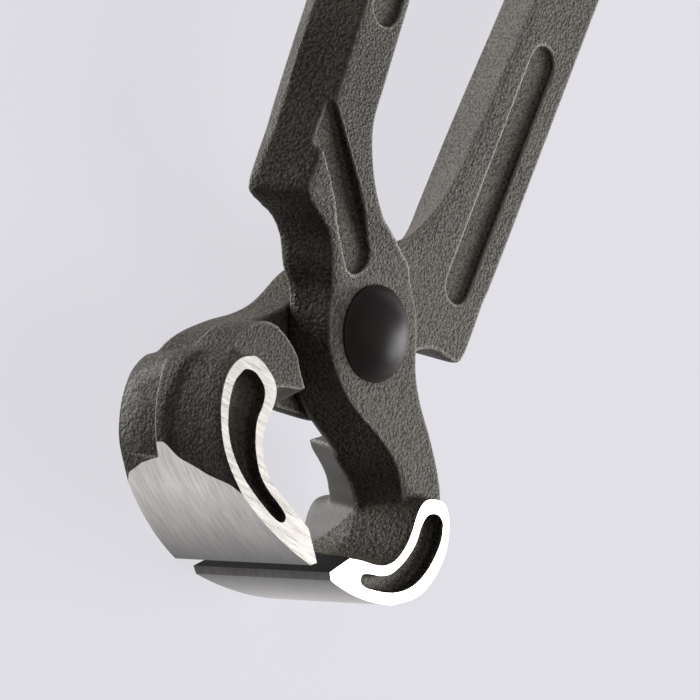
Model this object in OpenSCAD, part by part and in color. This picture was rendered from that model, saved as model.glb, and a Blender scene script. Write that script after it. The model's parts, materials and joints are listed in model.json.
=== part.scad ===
// End cutting nippers: two forged levers cross in a lap joint and turn on one domed rivet.
// Both levers are the same forging. The rear one is the front one turned half round the long axis.
// The nippers lie flat: the rivet axis is Z, the handles point along +Y, and the jaws' ground
// ends rest on the plane Z = 0. The origin is under the middle of the whole tool.

/* [Overall] */
// Length from the cutting edges to the ends of the handles, jaws closed
overall_l = 225; // [200:1:250]
// Distance from the rivet axis to the cutting edges
edge_reach = 35.4; // [32:0.2:39]
// Gap between the two cutting edges as the tool is shown
jaw_gap = 3; // [0.6:0.2:14]

/* [Jaws] */
// Width of the jaws along the cutting edges
jaw_w = 24.8; // [21:0.2:30]
// Centre line to the outer side of a closed jaw, at its end faces
jaw_half = 25.3; // [23.5:0.1:27.5]
// Half the width of the mouth between the closed jaws
mouth_half = 16.2; // [14.5:0.1:17.2]
// Cant of the ground end faces, in degrees
end_cant = 8.6; // [4:0.1:11]
// Radius of the ground bevel under the jaws
bevel_r = 42; // [38:1:60]
// Width of the flat behind a cutting edge
edge_land = 1.2; // [0.8:0.1:1.6]
// Rise of the forged skin from the open faces to the parting line
skin_draft = 1.3; // [0.6:0.1:1.8]
// Rise of the skin on the side towards the mouth
mouth_draft = 2.6; // [1.6:0.1:3]
// Width of the trimmed flash along the parting line
flash_w = 1.3; // [0.8:0.1:2]
// Step from the flash down to the lower half of the skin
flash_step = 0.6; // [0.3:0.1:0.9]
// Depth of the pocket in an end face
pocket_d = 2.2; // [1:0.1:3]

/* [Joint] */
// Radius of a lever round the rivet
hub_r = 9.4; // [8.8:0.1:10.2]
// Thickness of a lever at the rivet
cheek_t = 7.2; // [6:0.1:8.4]
// Gap between the two lapped faces
lap_gap = 0.1; // [0.06:0.02:0.3]
// Clearance between the hub of one lever and the shoulder of the other
shoulder_gap = 5.4; // [4.4:0.1:6.2]
// Depth of a jaw's shoulder on the far side of the lap
shoulder_t = 6; // [4.5:0.1:7]
// Diameter of the rivet's shank
shank_d = 9; // [7:0.1:10]
// Radial running clearance of the shank in the rear lever, and under the rivet's tail
running_gap = 0.05; // [0.02:0.01:0.1]
// Diameter of the rivet's domed head
head_d = 13.5; // [12:0.1:15]
// Height of the domed head
head_h = 3.6; // [2.6:0.1:4.6]
// Diameter of the rivet's formed tail
tail_d = 13; // [11.6:0.1:13.2]
// Height of the formed tail
tail_h = 2; // [1.2:0.1:2.6]

/* [Handles] */
// Thickness of a handle
handle_t = 9.6; // [8.8:0.1:10.8]
// Centre line to the outer side of the heel, jaws closed
heel_x = 24.7; // [23:0.1:26.5]
// Height of the heel above the rivet axis
heel_y = 9.9; // [9:0.1:11.5]
// Width of a handle on its lapped side
handle_w = 12.4; // [11.4:0.1:14]
// Slant of the inner side across a handle's thickness
handle_slant = 3.4; // [2:0.1:4.2]
// Outward bow of a handle at its grip
grip_bow = 2.1; // [0.5:0.1:4]
// Inward sweep of a handle at its end
end_sweep = 4.2; // [2:0.1:6]
// Bevel along the outer edges of a lever
edge_c = 0.8; // [0.4:0.1:1.1]

/* [Recesses] */
// Width of the narrow recesses at the neck and on the lapped side
slot_w = 5.1; // [4:0.1:5.6]
// Depth of the narrow recesses
slot_d = 1.2; // [0.6:0.1:1.6]
// Length of the recess on the lapped side
slot_l = 41.6; // [30:0.2:50]
// Width of the long recess in a grip
panel_w = 5.6; // [4.4:0.1:6]
// Depth of the long recess in a grip
panel_d = 1; // [0.5:0.1:1.5]

/* [Hidden] */
$fn = 96;

// How far cuts run past what they cut
over = 1;
// Start of the recess on the lapped side, in handle thicknesses above the heel
slot_start_share = 0.93;
// Share of the skin's draft by which a handle's open face stands back from its outer side
face_share = 0.73;
// Hollow beside the parting line: its share of the skin's draft, and of the jaw's width
hollow_share = 0.3;
hollow_place_share = 0.12;
// Share of the grip past which the handle narrows to its rounded end
end_start_share = 0.95;
// Metal that the ground faces take off the forging
grind = 0.3;

lap_z = lap_gap / 2;
half_open = asin(jaw_gap / 2 / edge_reach);
bore_d = shank_d + 2 * running_gap;
shoulder_r = hub_r + shoulder_gap;
forged_half_w = jaw_w / 2 + over;
// Height of the upright land between the lapped face and the slanted inner side
lap_land = handle_t / 8;
handle_end_y = overall_l - edge_reach;
grip_l = handle_end_y - heel_y;
// The ground bevel is centred so that it ends at the outer corner of the edge's land
land_corner = [edge_land * cos(45), -edge_reach - edge_land * sin(45)];
bevel_centre = [land_corner.x, land_corner.y + bevel_r];

// Places on a lever, in shares of the sizes that they follow. Jaw to the right, handle to the left.
function hub_at(turn, share) = hub_r * share * [cos(turn), sin(turn)];
function jaw_at(side_share, reach_share) = [jaw_half * side_share, -edge_reach * reach_share];
function mouth_at(side_share, reach_share) = [mouth_half * side_share, -edge_reach * reach_share];
function heel_at(side_share, rise_share) = [-heel_x * side_share, heel_y * rise_share];
function unit(v) = v / norm(v);
function mix(a, b, share) = a + (b - a) * share;

// Stations along the handle: how far along the grip, then the shares of the bow, of the end
// sweep, of the width, of the slant, of the thickness and of the skin's draft that hold there.
handle_shares = [
    [1.000, 0.10, 1.00, 0.46, 0.28, 0.52, 1.03],
    [0.995, 0.11, 0.98, 0.68, 0.38, 0.74, 1.03],
    [0.982, 0.15, 0.94, 0.86, 0.46, 0.90, 1.03],
    [0.962, 0.22, 0.86, 0.95, 0.50, 0.98, 1.03],
    [0.925, 0.36, 0.70, 0.99, 0.56, 1, 1.03],
    [0.870, 0.60, 0.46, 1.00, 0.60, 1, 1.03],
    [0.800, 0.84, 0.22, 1.01, 0.64, 1, 1.03],
    [0.710, 0.98, 0.06, 1.00, 0.66, 1, 1.03],
    [0.610, 1.00, 0.00, 0.98, 0.68, 1, 1.03],
    [0.500, 0.88, 0.00, 0.95, 0.68, 1, 1.10],
    [0.400, 0.68, 0.00, 0.93, 0.68, 1, 1.25],
    [0.300, 0.45, 0.00, 0.92, 0.68, 1, 1.50],
    [0.220, 0.30, 0.00, 0.95, 0.68, 1, 1.75],
    [0.168, 0.21, 0.00, 0.98, 0.73, 1, 1.90],
    [0.115, 0.12, 0.00, 1.04, 0.94, 1, 2.05]];
function handle_outer(s) = [-heel_x - grip_bow * s[1] + end_sweep * s[2], heel_y + grip_l * s[0]];
function handle_station(s) = let (
    outer = handle_outer(s),
    // The rounded end closes on the middle of the handle
    wide = handle_w * s[3], narrowing = s[0] > end_start_share ? (handle_w - wide) / 2 : 0)
    [outer + [narrowing + skin_draft * face_share, 0],
        outer + [narrowing + wide - handle_slant * s[4], 0], outer + [narrowing + wide, 0],
        s[5], s[6], 0];

// Stations from the heel round the hub to the jaw: outer edge, inner edge on the open face,
// inner edge on the lapped face, the share of the step from cheek to handle thickness, the share
// of the skin's draft on the outer side, and the share of the mouth's draft that it hangs lower.
neck_shares = [
    [heel_at(0.966, 2.17), heel_at(0.605, 2.47), heel_at(0.425, 2.58), 1, 2.1, 0],
    [heel_at(0.962, 1.57), heel_at(0.505, 1.95), heel_at(0.340, 2.12), 1, 1.95, 0],
    [heel_at(0.957, 1.17), heel_at(0.392, 1.62), heel_at(0.230, 1.81), 0.96, 1.8, 0],
    [heel_at(0.931, 1.04), heel_at(0.294, 1.44), heel_at(0.140, 1.56), 0.88, 1.67, 0.1],
    [heel_at(0.862, 0.97), heel_at(0.196, 1.37), heel_at(0.100, 1.45), 0.74, 1.19, 0.08],
    [heel_at(0.733, 0.89), heel_at(0.110, 1.31), heel_at(0.055, 1.34), 0.58, 1.04, 0],
    [heel_at(0.611, 0.74), hub_at(92, 1.29), hub_at(92, 1.29), 0.42, 1.38, 0.04],
    [heel_at(0.518, 0.44), hub_at(80, 1.22), hub_at(80, 1.22), 0.28, 1.6, 0],
    [hub_at(169, 1.19), hub_at(66, 1.10), hub_at(66, 1.10), 0, 1.2, 0],
    [hub_at(184, 1.06), hub_at(46, 1.01), hub_at(46, 1.01), 0, 0.8, 0],
    [hub_at(198, 1.02), hub_at(25, 0.98), hub_at(25, 0.98), 0, 0.6, 0],
    [hub_at(215, 1.00), hub_at(8, 1.01), hub_at(8, 1.01), 0, 0.7, 0.1],
    [hub_at(233, 1.00), hub_at(354, 1.13), hub_at(354, 1.13), 0, 0.9, 0.3],
    [hub_at(251, 1.04), jaw_at(0.482, 0.093), jaw_at(0.482, 0.093), 0, 1, 0.7],
    [hub_at(267, 1.12), jaw_at(0.561, 0.150), jaw_at(0.561, 0.150), 0, 1, 0.72],
    [mouth_at(0.160, 0.322), jaw_at(0.660, 0.209), jaw_at(0.660, 0.209), 0, 1, 0.82],
    [mouth_at(0.383, 0.342), jaw_at(0.751, 0.271), jaw_at(0.751, 0.271), 0, 1, 1.02],
    [mouth_at(0.593, 0.370), jaw_at(0.832, 0.333), jaw_at(0.832, 0.333), 0, 1, 1.1],
    [mouth_at(0.765, 0.412), jaw_at(0.895, 0.395), jaw_at(0.895, 0.395), 0, 1, 0.9],
    [mouth_at(0.895, 0.475), jaw_at(0.938, 0.463), jaw_at(0.938, 0.463), 0, 0.9, 0.6],
    [mouth_at(1.040, 0.590), jaw_at(0.955, 0.565), jaw_at(0.955, 0.565), 0, 0.5, 0]];
body_stations = concat([for (s = handle_shares) handle_station(s)], neck_shares);

// Stations along the jaw's wall from the cutting edge to its rounded top: outside, inside, the
// share of the skin's draft on the inside, and its share at the stepped half's end face
wall_shares = [
    [land_corner, [0, -edge_reach], 0, 0],
    [jaw_at(0.140, 1.045), mouth_at(0.100, 0.948), 0.2, 0],
    [jaw_at(0.245, 1.045), mouth_at(0.225, 0.910), 0.5, 0],
    [jaw_at(0.365, 1.032), mouth_at(0.389, 0.881), 0.8, 0],
    [jaw_at(0.520, 1.006), mouth_at(0.590, 0.853), 1, 0],
    [jaw_at(0.665, 0.958), mouth_at(0.750, 0.822), 1, -0.05],
    [jaw_at(0.780, 0.893), mouth_at(0.876, 0.774), 1, -0.03],
    [jaw_at(0.885, 0.816), mouth_at(0.950, 0.718), 1, 0.2],
    [jaw_at(0.950, 0.748), mouth_at(0.988, 0.672), 1, 0.25],
    [jaw_at(0.988, 0.667), mouth_at(1.000, 0.621), 1, 0.15],
    [jaw_at(1.000, 0.593), mouth_at(0.994, 0.565), 1, 0.05],
    [jaw_at(0.984, 0.531), mouth_at(1.018, 0.514), 1, -0.2],
    [jaw_at(0.945, 0.483), mouth_at(1.086, 0.480), 0.8, -0.3],
    [jaw_at(0.893, 0.458), mouth_at(1.191, 0.460), 0.6, -0.2],
    [jaw_at(0.845, 0.450), mouth_at(1.270, 0.452), 0.4, 0]];
// Outline of the pocket in an end face, from its top down the outside and back up the inside
pocket_shares = [
    jaw_at(0.893, 0.514), jaw_at(0.925, 0.579), jaw_at(0.917, 0.644), jaw_at(0.893, 0.703),
    jaw_at(0.854, 0.760), jaw_at(0.798, 0.811), jaw_at(0.723, 0.856), jaw_at(0.632, 0.893),
    jaw_at(0.530, 0.921), jaw_at(0.435, 0.941), jaw_at(0.368, 0.952), jaw_at(0.316, 0.952),
    jaw_at(0.292, 0.938), mouth_at(0.469, 0.915), mouth_at(0.580, 0.893), mouth_at(0.722, 0.873),
    mouth_at(0.852, 0.842), mouth_at(0.957, 0.791), mouth_at(1.037, 0.732), mouth_at(1.093, 0.661),
    mouth_at(1.093, 0.599), mouth_at(1.117, 0.551), mouth_at(1.173, 0.523), mouth_at(1.290, 0.503)];

// Stations of the shoulder that wraps the other lever's hub, from its inner corner round to
// the jaw's outside: top edge, mouth edge, and the share of the mouth's draft that holds there
shoulder_shares = [
    [mouth_at(0.550, 0.322), mouth_at(0.460, 0.360), 1],
    [jaw_at(0.440, 0.277), mouth_at(0.530, 0.388), 1],
    [jaw_at(0.535, 0.250), mouth_at(0.665, 0.414), 0.95],
    [jaw_at(0.640, 0.237), mouth_at(0.795, 0.448), 0.9],
    [jaw_at(0.735, 0.246), mouth_at(0.870, 0.487), 0.8],
    [jaw_at(0.828, 0.292), mouth_at(0.930, 0.522), 0.65],
    [jaw_at(0.905, 0.372), mouth_at(0.990, 0.557), 0.5],
    [jaw_at(0.950, 0.470), mouth_at(1.060, 0.592), 0.5],
    [jaw_at(0.960, 0.570), mouth_at(1.080, 0.622), 0.5]];

// Joins a row of sections, each a ring of as many points, into one closed solid
module loft(sections) {
    rings = len(sections);
    sides = len(sections[0]);
    walls = [for (i = [0 : rings - 2], j = [0 : sides - 1]) let (k = (j + 1) % sides)
        [i * sides + j, i * sides + k, (i + 1) * sides + k, (i + 1) * sides + j]];
    first = [for (j = [sides - 1 : -1 : 0]) j];
    last = [for (j = [0 : sides - 1]) (rings - 1) * sides + j];
    polyhedron(points = [for (s = sections) each s], faces = concat(walls, [first, last]));
}

// Section of a lever's body across one station
function body_section(s) = let (
    outer = s[0], inner = s[1], lapped = s[2], inward = unit(inner - outer),
    foot = outer - inward * skin_draft * s[4] - [0, mouth_draft * s[5]],
    top = cheek_t + (handle_t + grind - cheek_t) * s[3])
    [[each outer, top - edge_c], [each (outer + inward * edge_c), top],
        [each (inner - inward * edge_c), top], [each inner, top - edge_c], [each lapped, lap_land],
        [each lapped, 0], [each foot, 0], [each foot, lap_land]];

module body_blank() {
    difference() {
        loft([for (s = body_stations) body_section(s)]);
        // Lapped face
        translate([-overall_l, -overall_l, -over])
            cube([overall_l + overall_l, overall_l + overall_l, over + lap_z]);
        // Flat outer face of the handle
        translate([-overall_l, -overall_l, handle_t])
            cube([overall_l + overall_l, overall_l + overall_l, over]);
    }
}

// Section across the jaw's wall: the skin rises from both end faces to the trimmed flash
function wall_section(s) = let (
    outward = unit(s[0] - s[1]), crest = s[0] + outward * skin_draft,
    foot = s[0] + outward * (skin_draft - skin_draft * forged_half_w / (jaw_w / 2)),
    lower = crest - outward * flash_step, full = s[0] + outward * skin_draft * s[3],
    hollow = s[0] + outward * skin_draft * hollow_share,
    swell = s[1] - outward * skin_draft * s[2])
    [[each s[1], -forged_half_w], [each foot, -forged_half_w],
        [each hollow, -jaw_w * hollow_place_share], [each crest, -lap_z],
        [each crest, flash_w], [each lower, flash_w], [each full, forged_half_w],
        [each s[1], forged_half_w], [each swell, 0]];

// Section across the shoulder, from its far side up to the lapped face
function shoulder_section(s) = let (mouth_foot = s[1] + unit(s[1] - s[0]) * mouth_draft * s[2])
    [[each mouth_foot, lap_z + grind], [each s[0], lap_z + grind], [each s[0], -shoulder_t],
        [each s[1], -shoulder_t]];

// Half space beyond one canted end face, sunk by a depth
module beyond_end(side, depth) {
    mirror([0, 0, side > 0 ? 0 : 1])
        translate([0, -overall_l, jaw_w / 2 - depth])
            rotate([0, end_cant, 0])
                translate([-overall_l / 2, 0, 0])
                    cube([overall_l, overall_l + overall_l, jaw_w]);
}

module pocket(side) {
    intersection() {
        translate([0, 0, side > 0 ? 0 : -jaw_w]) linear_extrude(jaw_w) polygon(pocket_shares);
        beyond_end(side, pocket_d);
    }
}

module jaw() {
    difference() {
        intersection() {
            loft([for (s = wall_shares) wall_section(s)]);
            // Ground bevel
            translate([each bevel_centre, -jaw_w])
                cylinder(r = bevel_r, h = jaw_w + jaw_w, $fn = 360);
        }
        beyond_end(1, 0);
        beyond_end(-1, 0);
        pocket(1);
        pocket(-1);
    }
}

module shoulder() {
    difference() {
        loft([for (s = shoulder_shares) shoulder_section(s)]);
        translate([0, 0, -jaw_w]) cylinder(r = shoulder_r, h = jaw_w + lap_z);
    }
}

// Straight recess with round ends, cut down to Z = 0
module slot(length, width, depth) {
    cylinder(d = width, h = depth + over);
    translate([0, -width / 2, 0]) cube([length, width, depth + over]);
    translate([length, 0, 0]) cylinder(d = width, h = depth + over);
}

// Ends of the recess that runs from the hub out through the heel's side
neck_slot_shares = [hub_at(139, 1.250), heel_at(1.12, 2.42)];
// Height of the open face where that recess starts, between cheek and handle thickness
slot_rise_share = 0.36;

module neck_slot() {
    start = neck_slot_shares[0];
    run = neck_slot_shares[1] - start;
    start_z = mix(cheek_t, handle_t, slot_rise_share);
    translate([each start, start_z - slot_d])
        rotate([0, 0, atan2(run.y, run.x)])
            rotate([0, -atan2(handle_t - start_z, norm(run)), 0])
                slot(norm(run), slot_w, slot_d + over);
}

module lap_slot() {
    translate([slot_w - heel_x, heel_y + handle_t * slot_start_share, lap_z + slot_d])
        mirror([0, 0, 1]) rotate([0, 0, 90]) slot(slot_l - slot_w, slot_w, slot_d);
}

// Long recess that follows the grip's open face
module grip_panel() {
    middles = [for (i = [5 : 13]) mix(body_stations[i][0], body_stations[i][1], 0.5)];
    ends = [middles[0], middles[len(middles) - 1]];
    translate([0, 0, handle_t - panel_d]) {
        linear_extrude(panel_d + over)
            polygon(concat([for (m = middles) m - [panel_w / 2, 0]],
                [for (i = [len(middles) - 1 : -1 : 0]) middles[i] + [panel_w / 2, 0]]));
        for (e = ends) translate(e) cylinder(d = panel_w, h = panel_d + over);
    }
}

// One forging, jaws closed, with the rivet axis on Z and its lapped face at the middle
module lever(hole_d) {
    difference() {
        union() {
            body_blank();
            jaw();
            shoulder();
        }
        translate([0, 0, -over]) cylinder(d = hole_d, h = cheek_t + handle_t);
        neck_slot();
        lap_slot();
        grip_panel();
    }
}

function turned_y(p) = p.x * sin(half_open) + p.y * cos(half_open);
top_y = max([for (s = body_stations) max(turned_y(s[0]), turned_y(s[2]))]);
low_y = turned_y(land_corner);
// Moves the rivet axis so that the origin lies under the middle of the tool
module placed() {
    translate([0, -(top_y + low_y) / 2, jaw_w / 2]) children();
}

module front_lever() {
    color("dimgray") placed() rotate([0, 0, half_open]) lever(shank_d);
}

module rear_lever() {
    color("dimgray") placed() rotate([0, 180, 0]) rotate([0, 0, half_open]) lever(bore_d);
}

// Cap of a ball with a given foot and height, standing on Z = 0
module dome(d, h) {
    ball_r = (d * d / 4 + h * h) / (2 * h);
    intersection() {
        translate([0, 0, h - ball_r]) sphere(r = ball_r);
        cylinder(d = d + over, h = h + over);
    }
}

module rivet() {
    tail_z = -cheek_t - running_gap;
    color("#26262a") placed() {
        translate([0, 0, tail_z]) cylinder(d = shank_d, h = cheek_t - tail_z);
        translate([0, 0, cheek_t]) dome(head_d, head_h);
        translate([0, 0, tail_z]) mirror([0, 0, 1]) dome(tail_d, tail_h);
    }
}

front_lever();
rear_lever();
rivet();
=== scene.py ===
"""End cutting nippers: two forged levers and one domed rivet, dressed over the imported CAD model."""

import json
import math

import bmesh
import bpy
from bpy.props import FloatProperty, FloatVectorProperty, IntProperty, PointerProperty
from mathutils import Matrix, Vector


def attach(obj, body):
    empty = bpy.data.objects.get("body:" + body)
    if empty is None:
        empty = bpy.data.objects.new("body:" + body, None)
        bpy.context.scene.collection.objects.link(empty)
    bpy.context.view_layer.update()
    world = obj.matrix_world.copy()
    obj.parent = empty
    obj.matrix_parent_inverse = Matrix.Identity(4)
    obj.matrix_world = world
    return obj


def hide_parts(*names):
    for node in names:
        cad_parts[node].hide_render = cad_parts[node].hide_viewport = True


bl_info = {
    "name": "End cutting nippers",
    "version": (1, 0, 0),
    "blender": (4, 5, 0),
    "location": "View3D > Sidebar > Nippers",
    "description": "Forges, grinds and rivets a pair of end cutting nippers",
    "category": "Object",
}

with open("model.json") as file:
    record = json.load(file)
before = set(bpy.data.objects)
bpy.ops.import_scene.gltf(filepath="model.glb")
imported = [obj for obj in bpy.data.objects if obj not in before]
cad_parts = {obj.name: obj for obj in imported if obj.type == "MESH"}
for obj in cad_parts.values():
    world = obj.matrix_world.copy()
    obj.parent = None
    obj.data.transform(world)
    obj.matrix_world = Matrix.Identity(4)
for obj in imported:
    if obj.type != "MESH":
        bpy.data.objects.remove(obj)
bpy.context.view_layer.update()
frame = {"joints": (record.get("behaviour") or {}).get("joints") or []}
pivot = Vector(frame["joints"][0]["pos_m"])

MM = 0.001

# The places of the steels on a lever; two are lighter and darker copies of the skin, as painted light and
# painted shade
SKIN, BEVEL, ENDS, SHEARED_PAINTED_LIGHT, PAINTED_SHADE = range(5)

# Rows on the curve from one station of an outline to the next
STEPS = 4

# Height of the parting line, as a share of the handle's thickness
PARTING = 1 / 7

# How far a wheel draws its lines out, by axis: round the jaw, or across it
DRAWN = 0.07
ROUND_JAW, ACROSS_JAW = (DRAWN, DRAWN, 1), (DRAWN, 1, DRAWN)

# Edges that stay sharp beside ground steel and in the forged skin, and the turn at which an edge takes the
# full edge colour, which is partly wear and partly a painted highlight
GROUND_SHARP, SKIN_SHARP, WORN_AND_HIGHLIT_TURN = math.radians(20), math.radians(34), math.radians(26)

# Each softbox: its direction from the rivet, its distance and its size
LAMPS = {
    "key": ((0.80, 0.16, 0.58), 1.1, 0.65),
    "top": ((0.05, 0.25, 0.97), 1.1, 1.6),
    "back": ((-0.44, 0.22, -0.87), 1.2, 0.9),
    "side": ((0.93, 0.35, 0.24), 1.2, 0.6),
}

# The photograph's viewing angle: the camera's own axes, and its place as seen from the rivet
CAMERA_AXES = (0.57510, 0.31159, 0.75642), (-0.45854, 0.88850, -0.01737), (-0.67749, -0.33686, 0.65386)
CAMERA_PLACE = (-0.65010, -0.32580, 0.63105)


# Sizes and colours


def length(name, millimetres, text):
    """A length in the panel, with its default written in millimetres."""
    return FloatProperty(
        name=name, description=text, default=millimetres * MM, min=0, unit="LENGTH", precision=4
    )


def portion(name, value, text, least=0):
    """A share of a whole in the panel."""
    return FloatProperty(name=name, description=text, default=value, min=least, max=1)


def power(name, watts, text):
    """The power of a lamp in the panel."""
    return FloatProperty(name=name, description=text, default=watts, min=0, unit="POWER")


def paint(name, value, text):
    """A colour in the panel, as linear red, green and blue."""
    return FloatVectorProperty(
        name=name, description=text, default=value, size=3, min=0, max=1, subtype="COLOR"
    )


class ForgingSizes(bpy.types.PropertyGroup):
    """Sizes of one lever, jaws closed, measured from the rivet's axis."""

    edge_reach: length("Edge reach", 35.4, "Rivet axis to the cutting edge")
    jaw_gap: length("Jaw gap", 3, "Gap between the cutting edges as shown")
    jaw_width: length("Jaw width", 24.8, "Width of a jaw along its cutting edge")
    jaw_half: length("Jaw half span", 25.3, "Centre line to the jaw's outer side")
    mouth_half: length("Mouth half span", 16.2, "Centre line to the inside of the mouth")
    bevel_radius: length("Bevel radius", 42, "Radius of the ground bevel under the jaw")
    edge_land: length("Edge land", 1.2, "Width of the flat behind the cutting edge")
    end_cant: FloatProperty(
        name="End cant", description="Cant of the ground end faces",
        default=math.radians(8.6), subtype="ANGLE",
    )
    draft: length("Draft", 1.3, "Rise of the forged skin up to the parting line")
    mouth_draft: length("Mouth draft", 2.6, "Rise of the skin on the side towards the mouth")
    seam: length("Seam", 0.4, "How far the flash leans back to the lapped face")
    flash_width: length("Flash width", 1.3, "Width of the trimmed flash")
    flash_step: length("Flash step", 0.7, "Step down from the flash")
    round_over: length("Round-over", 0.3, "How far the skin turns in at an end face")
    mouth_round: length("Mouth round-over", 0.5, "Rounding inside the mouth at the unstepped end")
    pocket_depth: length("Pocket depth", 2.2, "Depth of the pocket in an end face")
    hub_radius: length("Hub radius", 9.4, "Radius of the lever round the rivet")
    cheek: length("Cheek", 7.2, "Thickness of the lever at the rivet")
    handle: length("Handle", 9.6, "Thickness of the handle")
    handle_width: length("Handle width", 12.4, "Width of the handle on its lapped side")
    face_inset: length("Face inset", 0.95, "How far the handle's open face stands back from its outer side")
    handle_slant: length("Handle slant", 3.4, "Slant of the handle's inner side")
    heel_x: length("Heel half span", 24.7, "Centre line to the handle's outer side")
    heel_y: length("Heel height", 9.9, "Height of the heel above the rivet")
    overall: length("Overall length", 225, "Cutting edge to handle end")
    bow: length("Bow", 2.1, "Outward bow of the grip")
    sweep: length("End sweep", 4.2, "Inward sweep of the handle's end")
    corner: length("Corner", 0.6, "Rounding of the open face's edges")
    slot_width: length("Slot width", 5.1, "Width of the narrow recesses")
    slot_depth: length("Slot depth", 1.2, "Depth of the narrow recesses")
    slot_length: length("Slot length", 41.6, "Length of the recess on the lapped side")
    panel_width: length("Panel width", 5.6, "Width of the long recess in the grip")
    panel_depth: length("Panel depth", 1.0, "Depth of the long recess in the grip")
    shoulder_gap: length("Shoulder gap", 5.4, "Clearance from the hub to the other jaw's shoulder")
    shoulder: length("Shoulder", 6, "Depth of the shoulder past the lap")
    lap: length("Lap", 0.12, "Half the gap between the lapped faces")
    bore: length("Bore", 4.55, "Radius of the rivet hole")
    grain: length("Grain", 0.28, "Size of a cell of the forging's skin")
    softness: IntProperty(
        name="Softness", description="Passes that soften the forged edges", default=4, min=0
    )
    kept: portion("Kept faces", 0.5, "Share of the skin's faces that is kept", 0.05)


class RivetSizes(bpy.types.PropertyGroup):
    """Sizes of the rivet."""

    shank: length("Shank radius", 4.5, "Radius of the shank")
    head: length("Head radius", 6.75, "Radius of the domed head")
    rise: length("Head rise", 3.6, "Height of the domed head")
    tail: length("Tail radius", 6.5, "Radius of the formed tail")
    tail_rise: length("Tail rise", 2, "Height of the formed tail")
    rim: length("Rim", 0.35, "Rounding of the foot of the head")
    tail_gap: length("Tail gap", 0.05, "Clearance under the tail")


class Finishes(bpy.types.PropertyGroup):
    """Colours of the steel."""

    skin: paint("Forged skin", (0.030, 0.025, 0.020), "Black scale of the forging")
    worn: paint("Worn skin", (0.120, 0.104, 0.084), "Lighter scale where it is rubbed")
    # partly wear and partly a painted highlight: this lighter colour runs along the convex edges
    edge: paint("Rubbed edge", (0.34, 0.32, 0.29), "Steel that shows along the rubbed edges")
    # painted light: this lighter copy of the skin stands in for light from behind on faces in the mouth; a
    # small share of it is the painted shade on the inner bevel
    sheared_painted_light: paint("Sheared skin", (0.095, 0.086, 0.074), "Smoother skin where the flash was sheared off")
    ground: paint("Ground steel", (0.66, 0.635, 0.585), "Bright ground faces")
    dome: paint("Rivet", (0.012, 0.008, 0.005), "Satin head of the rivet")


class StudioSizes(bpy.types.PropertyGroup):
    """The stage round the tool."""

    floor: paint("Floor", (0.765, 0.758, 0.806), "Pale floor and background")
    glow: portion("Glow", 0.88, "Share of the floor's colour that shadows leave")
    key: power("Key", 9.6, "Power of the main softbox")
    top: power("Top", 3.6, "Power of the softbox overhead")
    back: power("Back", 22, "Power of the softbox behind")
    side: power("Side", 5, "Power of the softbox at the side")
    sky: portion("Sky", 0.03, "Strength of the even light all round")
    lens: FloatProperty(name="Lens", description="Focal length in millimetres", default=360, min=1)


# Shader wires and finishes


class Wire:
    """A value in a material: sums and products of wires add their own maths nodes."""

    def __init__(self, tree, socket):
        self.tree, self.socket = tree, socket

    def node(self, kind, settings=(), output=0, **inputs):
        """Adds a node, sets it, joins its inputs by position or name, and returns its output."""
        made = self.tree.nodes.new(kind)
        for name, value in dict(settings).items():
            setattr(made, name, value)
        for name, value in inputs.items():
            place = int(name[1:]) if name[0] == "i" and name[1:].isdigit() else name.replace("_", " ")
            if isinstance(value, Wire):
                self.tree.links.new(value.socket, made.inputs[place])
            else:
                made.inputs[place].default_value = value
        return Wire(self.tree, made.outputs[output])

    def sum_of(self, operation, a, b):
        """One maths node on two values."""
        return self.node("ShaderNodeMath", {"operation": operation}, i0=a, i1=b)

    def __add__(self, other):
        return self.sum_of("ADD", self, other)

    def __sub__(self, other):
        return self.sum_of("SUBTRACT", self, other)

    def __rsub__(self, other):
        return self.sum_of("SUBTRACT", other, self)

    def __mul__(self, other):
        return self.sum_of("MULTIPLY", self, other)

    __radd__, __rmul__ = __add__, __mul__

    def clipped(self, low, high):
        """0 below low, 1 above high."""
        return self.node("ShaderNodeMapRange", {"clamp": True}, Value=self, From_Min=low, From_Max=high)


def coat(name, roughness, metallic=0.0, specular=0.5):
    """An empty material: returns it, its shader node and the place of a point on the piece."""
    made = bpy.data.materials.new(name)
    made.use_nodes = True
    tree = made.node_tree
    shader = tree.nodes["Principled BSDF"]
    shader.inputs["Roughness"].default_value = roughness
    shader.inputs["Metallic"].default_value = metallic
    shader.inputs["Specular IOR Level"].default_value = specular
    place = Wire(tree, tree.nodes.new("ShaderNodeTexCoord").outputs["Object"])
    return made, shader, place


def feed(shader, **inputs):
    """Joins wires to the shader's sockets."""
    for name, wire in inputs.items():
        wire.tree.links.new(wire.socket, shader.inputs[name.replace("_", " ")])


def blend_colours(share, a, b):
    """One colour turning into the other as share goes from 0 to 1."""
    a, b = (c if isinstance(c, Wire) else (*c, 1) for c in (a, b))
    return share.node("ShaderNodeMix", {"data_type": "RGBA"}, output=2, i0=share, i6=a, i7=b)


def shades(colour, *shares):
    """The same colour at several shares of its brightness."""
    return [[c * share for c in colour] for share in shares]


def grain(place, size, detail=2.0, roughness=0.55):
    """Even noise whose lumps are about size metres across."""
    lumps_per_cell = 0.6
    scale = lumps_per_cell / size
    return place.node("ShaderNodeTexNoise", Vector=place, Scale=scale, Detail=detail, Roughness=roughness)


def relief(height, strength, depth):
    """The bumps of a finish, depth metres high."""
    return height.node("ShaderNodeBump", Strength=strength, Distance=depth, Height=height)


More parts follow.
